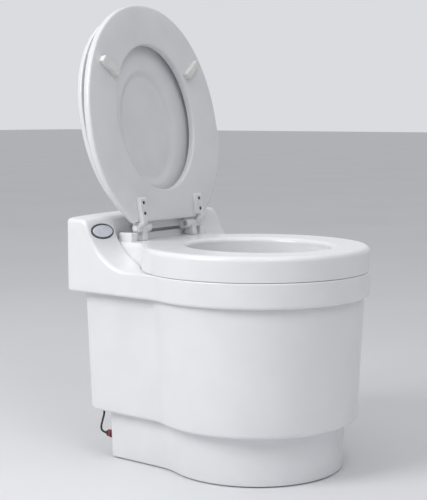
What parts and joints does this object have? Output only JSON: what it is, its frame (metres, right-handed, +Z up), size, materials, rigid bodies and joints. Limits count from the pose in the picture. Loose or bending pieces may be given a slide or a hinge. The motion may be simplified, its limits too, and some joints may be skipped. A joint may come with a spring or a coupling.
{
  "type": "dry flush toilet",
  "caption": "Free-standing dry flush toilet with tapered white body, raised rear deck, lift-off rim cover, hinged seat and lid, film cartridge and driven drum.",
  "frame": {"origin": "middle of the bounding box at floor level, under the four rubber feet", "axes": "+Z up, -Y to the front of the bowl, +Y to the rear deck, +X to the right of the toilet as seen from the front"},
  "size_m": [0.394, 0.4852, 0.8018],
  "materials": {
    "gloss_white": "moulded gloss white",
    "seat_white": "moulded satin gloss white",
    "hinge_nylon": "white nylon",
    "bumper_rubber": "white rubber",
    "black_rubber": "black rubber",
    "black_plastic": "black",
    "grey_plastic": "grey",
    "silver_face": "pale silver",
    "dark_ring": "dark grey",
    "red_ring": "red",
    "film_silver": "metallised film",
    "zinc_steel": "zinc plated",
    "brass": "turned",
    "acetal": "natural acetal",
    "circuit_board": "green laminate",
    "foam_gasket": "closed-cell foam"
  },
  "bodies": {
    "casing": {"base_tray": "gloss_white", "rubber_foot_1": "black_rubber", "rubber_foot_2": "black_rubber", "rubber_foot_3": "black_rubber", "rubber_foot_4": "black_rubber", "battery": "black_plastic", "battery_strap": "zinc_steel", "main_tub": "gloss_white", "service_panel": "gloss_white", "control_board": "circuit_board", "collar_deck": "gloss_white", "button_bezel": "dark_ring", "flush_switch": "black_plastic", "carrier_ring": "grey_plastic", "drum_spindle": "zinc_steel", "motor_bracket": "zinc_steel", "gear_motor": "zinc_steel", "blower_housing": "black_plastic", "blower_motor": "zinc_steel", "outlet_duct": "black_rubber", "lead_gland": "black_rubber", "power_socket": "black_plastic", "power_plug": "black_plastic", "plug_ring": "red_ring", "power_lead": "black_rubber", "switch_wire": "black_rubber", "motor_wire": "black_rubber"},
    "cover": {"rim_cover": "gloss_white", "rim_gasket": "foam_gasket", "hinge_post_left": "hinge_nylon", "hinge_post_right": "hinge_nylon", "hinge_bolt_left": "zinc_steel", "hinge_bolt_right": "zinc_steel", "hinge_nut_left": "hinge_nylon", "hinge_nut_right": "hinge_nylon", "hinge_pin_left": "zinc_steel", "hinge_pin_right": "zinc_steel"},
    "seat": {"seat_ring": "seat_white", "seat_bumper_left": "bumper_rubber", "seat_bumper_right": "bumper_rubber", "seat_arm_left": "hinge_nylon", "seat_arm_right": "hinge_nylon"},
    "raised_lid": {"lid": "seat_white", "lid_bumper_left": "bumper_rubber", "lid_bumper_right": "bumper_rubber", "lid_knuckle_left": "hinge_nylon", "lid_knuckle_right": "hinge_nylon"},
    "cartridge": {"cartridge_body": "grey_plastic", "cartridge_core": "grey_plastic", "film_pack": "film_silver", "cartridge_cap": "grey_plastic", "liner_film": "film_silver"},
    "drum": {"film_drum": "grey_plastic", "drum_bush": "brass", "ring_gear": "acetal"},
    "pinion": {"drive_pinion": "acetal"},
    "blower": {"blower_wheel": "grey_plastic"},
    "button": {"flush_button": "silver_face"}
  },
  "joints": [
    {"name": "cover_lift", "type": "slide", "parent": "casing", "child": "cover", "axis": [0, 0, 1], "range_m": [0, 0.25]},
    {"name": "cartridge_lift", "type": "slide", "parent": "casing", "child": "cartridge", "axis": [0, 0, 1], "range_m": [0, 0.1], "deforming": ["liner_film"]},
    {"name": "seat_hinge", "type": "hinge", "parent": "cover", "child": "seat", "pos_m": [0, 0.15237, 0.4056], "axis": [1, 0, 0], "range_deg": [0, 99.84]},
    {"name": "lid_hinge", "type": "hinge", "parent": "cover", "child": "raised_lid", "pos_m": [0, 0.15237, 0.4056], "axis": [1, 0, 0], "range_deg": [0, 99.84]},
    {"name": "drum_spin", "type": "hinge", "parent": "casing", "child": "drum", "pos_m": [0, -0.04563, 0.1], "axis": [0, 0, 1], "continuous": true},
    {"name": "pinion_spin", "type": "hinge", "parent": "casing", "child": "pinion", "pos_m": [-0.108, 0.09837, 0.1041], "axis": [0, 0, 1], "continuous": true},
    {"name": "blower_spin", "type": "hinge", "parent": "casing", "child": "blower", "pos_m": [0.084, 0.14437, 0.1593], "axis": [0, 0, 1], "continuous": true},
    {"name": "flush_press", "type": "slide", "parent": "casing", "child": "button", "axis": [0, 0.9256, -0.3784], "range_m": [0, 0.0022], "stiffness_N_per_m": 800}
  ],
  "couplings": [
    {"joint": "cartridge_lift", "follows": "cover_lift", "ratio": 0.4},
    {"joint": "lid_hinge", "follows": "seat_hinge", "ratio": 1},
    {"joint": "pinion_spin", "follows": "drum_spin", "ratio": -5}
  ]
}
